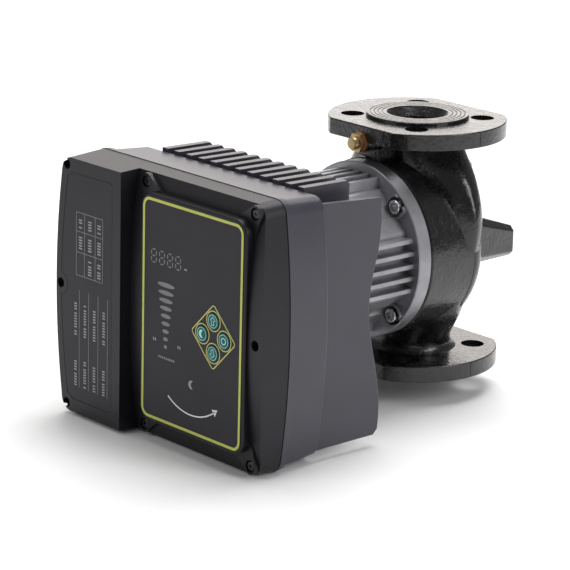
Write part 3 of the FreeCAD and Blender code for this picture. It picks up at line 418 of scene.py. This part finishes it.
def rounded_loop(x0, x1, z0, z1, r, steps=8):
    points = arc(x1 - r, z1 - r, r, 0, 90, steps)
    points += arc(x0 + r, z1 - r, r, 90, 180, steps)
    points += arc(x0 + r, z0 + r, r, 180, 270, steps)
    points += arc(x1 - r, z0 + r, r, 270, 360, steps)
    return points


def merged(name, pieces):
    """Joins printed marks of one colour into one piece."""
    keep = pieces[0]
    work = bmesh.new()
    for piece in pieces:
        work.from_mesh(piece.data)
    work.to_mesh(keep.data)
    work.free()
    for piece in pieces[1:]:
        mesh = piece.data
        bpy.data.objects.remove(piece)
        bpy.data.meshes.remove(mesh)
    keep.name = name
    keep.data.name = name
    return keep


def panel_border(material):
    low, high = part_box("panel_overlay")
    loop = rounded_loop(low[0] + BORDER_INSET, high[0] - BORDER_INSET,
                        low[2] + BORDER_INSET, high[2] - BORDER_INSET, BORDER_CORNER)
    return ribbon("panel_border", loop, BORDER_WIDTH, low[1], material, closed=True)


SEGMENTS = {"a": (0.0, 1.0, 1), "g": (0.0, 0.5, 1), "d": (0.0, 0.0, 1),
            "f": (0.0, 0.75, 0), "b": (1.0, 0.75, 0), "e": (0.0, 0.25, 0), "c": (1.0, 0.25, 0)}


def segment_bar(name, cx, cz, length, width, level, depth_y, material):
    half = length / 2
    tip = width / 2
    if level:
        outline = [(cx - half, cz), (cx - half + tip, cz + tip), (cx + half - tip, cz + tip),
                   (cx + half, cz), (cx + half - tip, cz - tip), (cx - half + tip, cz - tip)]
    else:
        outline = [(cx, cz - half), (cx + tip, cz - half + tip), (cx + tip, cz + half - tip),
                   (cx, cz + half), (cx - tip, cz + half - tip), (cx - tip, cz - half + tip)]
    return patch(name, outline, depth_y, material)


def display_digits(material):
    low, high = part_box("digit_display")
    width = 6.0 * MM
    height = 10.6 * MM
    pitch = 10.0 * MM
    floor = (low[2] + high[2]) / 2 - height / 2
    marks = []
    for digit in range(4):
        left = low[0] + 3.2 * MM + digit * pitch
        for key, (u, v, level) in SEGMENTS.items():
            span = width - 2.2 * MM if level else height / 2 - 1.7 * MM
            cx = left + (width / 2 if level else u * width)
            marks.append(segment_bar("digit_%d_%s" % (digit, key), cx, floor + v * height, span,
                                     0.95 * MM, level, low[1], material))
    return merged("display_segments", marks)


def unit_mark(material):
    # plain stroke to the right of the digits
    low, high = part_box("digit_display")
    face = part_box("panel_overlay")[0][1]
    x = high[0] + 2.4 * MM
    z = low[2] + 5.6 * MM
    half = 1.6 * MM
    return ribbon("unit_mark", [(x - half, z), (x + half, z)], 1.2 * MM, face, material)


def keypad_frame(material):
    # diamond outline round the four keys, with a thin ring round each key
    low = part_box("panel_overlay")[0]
    spots = {}
    for name in KEY_NAMES:
        a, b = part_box(name)
        spots[name] = ((a[0] + b[0]) / 2, (a[2] + b[2]) / 2)
    cx = (spots["key_night"][0] + spots["key_power"][0]) / 2
    cz = (spots["key_up"][1] + spots["key_down"][1]) / 2
    reach = 26.4 * MM
    diamond = [(cx + reach, cz), (cx, cz + reach), (cx - reach, cz), (cx, cz - reach)]
    loop = []
    for i, corner in enumerate(diamond):
        before = Vector(diamond[i - 1])
        after = Vector(diamond[(i + 1) % 4])
        here = Vector(corner)
        loop.append(tuple(here + (before - here).normalized() * 1.6 * MM))
        loop.append(tuple(here + (after - here).normalized() * 1.6 * MM))
    marks = [ribbon("keypad_diamond", loop, 0.95 * MM, low[1], material, closed=True)]
    for name, (x, z) in spots.items():
        marks.append(ribbon("ring_" + name, circle(x, z, 8.1 * MM), 0.8 * MM, low[1], material,
                            closed=True))
    return merged("keypad_lines", marks)


def arrow_outline(cx, cz, up):
    # a block arrow, pointing up where up is 1 and down where it is -1
    wing = 3.0 * MM
    stem = 1.3 * MM
    tip = cz + up * 3.6 * MM
    shoulder = cz + up * 0.4 * MM
    tail = cz - up * 3.2 * MM
    return [(cx, tip), (cx + wing, shoulder), (cx + stem, shoulder), (cx + stem, tail),
            (cx - stem, tail), (cx - stem, shoulder), (cx - wing, shoulder)]


def key_icons(mint):
    for name in KEY_NAMES:
        a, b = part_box(name)
        cx = (a[0] + b[0]) / 2
        cz = (a[2] + b[2]) / 2
        face = a[1]
        ribbon("rim_" + name, circle(cx, cz, 5.2 * MM), 0.4 * MM, face, mint,
               closed=True, body=name)
        if name in ("key_up", "key_down"):
            up = 1 if name == "key_up" else -1
            outline = arrow_outline(cx, cz, up)
            ribbon("icon_" + name, outline, 0.7 * MM, face, mint, closed=True, body=name)
        elif name == "key_night":
            outer, inner = crescent(cx, cz, 3.3 * MM)
            patch("icon_" + name, outer + inner, face, mint, body=name)
        else:
            ribbon("icon_" + name, circle(cx, cz, 2.5 * MM, 28), 0.8 * MM, face, mint,
                   closed=True, body=name)


def sweep_arrow(material):
    # the long curved arrow under the keys
    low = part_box("panel_overlay")[0]
    cx = low[0] + 62.4 * MM
    cz = low[2] + 64.2 * MM
    r = 48.3 * MM
    line = arc(cx, cz, r, 234.5, 308.0, 30)
    body = ribbon("arrow_line", line, 1.1 * MM, low[1], material)
    tip = Vector(line[-1])
    along = (Vector(line[-1]) - Vector(line[-2])).normalized()
    across = Vector((-along.y, along.x))
    head = [tuple(tip + along * 3.4 * MM), tuple(tip + across * 3.2 * MM - along * 2.4 * MM),
            tuple(tip - across * 3.2 * MM - along * 2.4 * MM)]
    point = patch("arrow_head", head, low[1], material)
    return merged("sweep_arrow", [body, point])


def night_mark(material):
    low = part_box("panel_overlay")[0]
    cx = low[0] + 63.0 * MM
    cz = low[2] + 41.0 * MM
    outer, inner = crescent(cx, cz, 3.6 * MM)
    return patch("night_mark", outer + inner, low[1], material)


def bar_marks(material):
    # short plain ticks beside the foot of the light bar
    low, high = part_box("led_lenses")
    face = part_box("panel_overlay")[0][1]
    cx = (low[0] + high[0]) / 2
    level = low[2] + 5.0 * MM
    foot = low[2] - 8.0 * MM
    rows = [(cx - 13.7 * MM, level, 2, 2.6), (cx + 16.8 * MM, level, 2, 2.6), (cx + 1.4 * MM, foot, 9, 1.8)]
    marks = []
    for middle, z, count, height in rows:
        for i in range(count):
            x = middle + (i - (count - 1) / 2) * 2.3 * MM
            tick = [(x, z - height / 2 * MM), (x, z + height / 2 * MM)]
            marks.append(ribbon("tick_%d" % len(marks), tick, 1.1 * MM, face, material))
    return merged("bar_ticks", marks)


def label_rules(rule, text):
    # ruled lines and plain dashes where a rating label carries its table
    low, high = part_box("rating_label")
    face = low[1]
    right = high[0]
    floor = low[2]
    hairline = 0.55
    text_step = 12.4
    text_columns = [5.0 + text_step * i for i in range(4)]

    def stroke(name, x, start, end, width, material):
        path = [(right - x * MM, floor + start * MM), (right - x * MM, floor + end * MM)]
        return ribbon(name, path, width * MM, face, material)

    lines = [stroke("rule_low_%d" % i, x, 11.5, 95.0, hairline, rule) for i, x in enumerate(text_columns)]
    for i, x in enumerate((11.8, 21.6, 35.8, 46.4)):
        lines.append(stroke("rule_top_%d" % i, x, 107.5, 160.5, hairline, rule))
    for i, z in enumerate((107.5, 127.0, 144.5, 160.5)):
        path = [(right - 11.8 * MM, floor + z * MM), (right - 46.4 * MM, floor + z * MM)]
        lines.append(ribbon("rule_cross_%d" % i, path, hairline * MM, face, rule))
    merged("label_rules", lines)
    # each row of text is (distance in from the right, start, end, letter height)
    rows = [(x + 5.0, start, end, 3.2) for x in text_columns for start, end in ((12.5, 36.0), (56.0, 84.0))]
    cells = [(16.6, 110.0, 124.0), (28.7, 110.0, 124.0), (28.7, 130.0, 142.0), (16.6, 130.0, 141.0),
             (16.6, 147.5, 157.0), (28.7, 147.5, 157.0), (41.0, 130.0, 142.0), (41.0, 147.5, 157.0)]
    rows += [(x, start, end, 4.2) for x, start, end in cells]
    strokes = []
    for x, start, end, height in rows:
        at = start
        while at + 1.2 < end:
            strokes.append(stroke("stroke_%d" % len(strokes), x, at, at + 1.2, height, text))
            at += 3.9 if len(strokes) % 6 == 5 else 2.3
    return merged("label_strokes", strokes)


def print_marks():
    yellow = ink("ink_lime", YELLOW, 0.45)
    thin_yellow = ink("ink_thin_lime", THIN_YELLOW, 0.45)
    white = ink("ink_white", WHITE_INK)
    pale = ink("ink_pale", PALE_INK)
    dim = ink("ink_dim", DIM_INK)
    panel_border(yellow)
    keypad_frame(thin_yellow)
    key_icons(ink("ink_mint", MINT))
    display_digits(dim)
    unit_mark(pale)
    sweep_arrow(white)
    night_mark(pale)
    bar_marks(pale)
    label_rules(dim, pale)


def rim_seam(name, x, y, low_z, high_z, material):
    # low ridge left on a flange's rim where the mould halves met
    half = 0.5 * MM
    out = 0.5 * MM
    inward = 0.3 * MM
    sign = 1 if x > 0 else -1
    section = [(x - sign * inward, y - 2 * half), (x + sign * out, y - half), (x + sign * out, y + half),
               (x - sign * inward, y + 2 * half)]
    mesh = bpy.data.meshes.new(name)
    work = bmesh.new()
    low = [work.verts.new((a, b, low_z)) for a, b in section]
    high = [work.verts.new((a, b, high_z)) for a, b in section]
    work.faces.new(low)
    work.faces.new(list(reversed(high)))
    for i in range(4):
        j = (i + 1) % 4
        work.faces.new((low[i], low[j], high[j], high[i]))
    bmesh.ops.recalc_face_normals(work, faces=work.faces)
    work.to_mesh(mesh)
    work.free()
    return place(name, mesh, material, MAIN_BODY)


def casing_seams(material):
    low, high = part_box("volute_casing")
    raised = 3.0 * MM
    rim = 14.0 * MM
    edge = 1.4 * MM
    for side, x in (("right", FLANGE_REACH), ("left", -FLANGE_REACH)):
        rim_seam("seam_low_" + side, x, 0.0,
                 low[2] + raised + edge, low[2] + raised + rim - edge, material)
        rim_seam("seam_high_" + side, x, 0.0,
                 high[2] - raised - rim + edge, high[2] - raised - edge, material)


# ------------------------------------------------------------------ stage

def studio_floor(level):
    mesh = bpy.data.meshes.new("studio_floor")
    half = 6.0
    mesh.from_pydata([(-half, -half, level), (half, -half, level), (half, half, level), (-half, half, level)],
                     [], [(0, 1, 2, 3)])
    floor = bpy.data.objects.new("studio_floor", mesh)
    bpy.context.scene.collection.objects.link(floor)
    m = Nodes("studio_white")
    m.shader.inputs["Base Color"].default_value = (0.92, 0.92, 0.92, 1.0)
    m.set(roughness=0.9)
    mesh.materials.append(m.material)


def soft_light(name, place_at, aim, width, height, power, tint=(1.0, 1.0, 1.0)):
    light = bpy.data.lights.new(name, "AREA")
    light.shape = "RECTANGLE"
    light.color = tint
    light.size = width
    light.size_y = height
    light.energy = power
    lamp = bpy.data.objects.new(name, light)
    lamp.location = place_at
    lamp.rotation_euler = (Vector(aim) - Vector(place_at)).to_track_quat("-Z", "Y").to_euler()
    lamp.visible_camera = False
    bpy.context.scene.collection.objects.link(lamp)


def lights():
    # strong overhead and back boxes, a box on the casing's side, and little light from the front
    centre = (0.0, -0.12, 0.09)
    soft_light("overhead_box", (-0.4, 0.5, 2.3), centre, 2.2, 2.0, 74.0)
    soft_light("back_box", (-1.9, 1.7, 0.95), centre, 2.2, 1.5, 20.0, (1.0, 0.95, 0.91))
    soft_light("side_box", (2.0, 0.45, 1.15), centre, 0.8, 1.5, 21.0)
    soft_light("front_fill", (-0.8, -2.3, 1.3), centre, 1.2, 1.2, 14.0)
    world = bpy.data.worlds.new("studio_world")
    world.use_nodes = True
    background = world.node_tree.nodes["Background"]
    background.inputs["Color"].default_value = (1.0, 1.0, 1.0, 1.0)
    background.inputs["Strength"].default_value = 0.22
    bpy.context.scene.world = world


def camera():
    azimuth = math.radians(CAMERA_AZIMUTH)
    elevation = math.radians(CAMERA_ELEVATION)
    roll = math.radians(CAMERA_ROLL)
    back = Vector((math.sin(azimuth) * math.cos(elevation), -math.cos(azimuth) * math.cos(elevation),
                   math.sin(elevation)))
    right = Vector((math.cos(azimuth), math.sin(azimuth), 0.0))
    up = back.cross(right)
    side = math.cos(roll) * right + math.sin(roll) * up
    top = -math.sin(roll) * right + math.cos(roll) * up
    aim = CAMERA_AIM_SIDE * right + Vector((0.0, 0.0, CAMERA_AIM_HEIGHT))
    lens = bpy.data.cameras.new("studio_camera")
    lens.lens = CAMERA_LENS
    lens.clip_end = 20.0
    eye = bpy.data.objects.new("studio_camera", lens)
    turn = Matrix((side, top, back)).transposed().to_4x4()
    eye.matrix_world = Matrix.Translation(aim + back * CAMERA_DISTANCE) @ turn
    bpy.context.scene.collection.objects.link(eye)
    bpy.context.scene.camera = eye


dress_nodes()
print_marks()
studio_floor(cad_box[0][2] - FLOOR_GAP)
lights()
camera()
bpy.context.scene.view_settings.view_transform = "Standard"
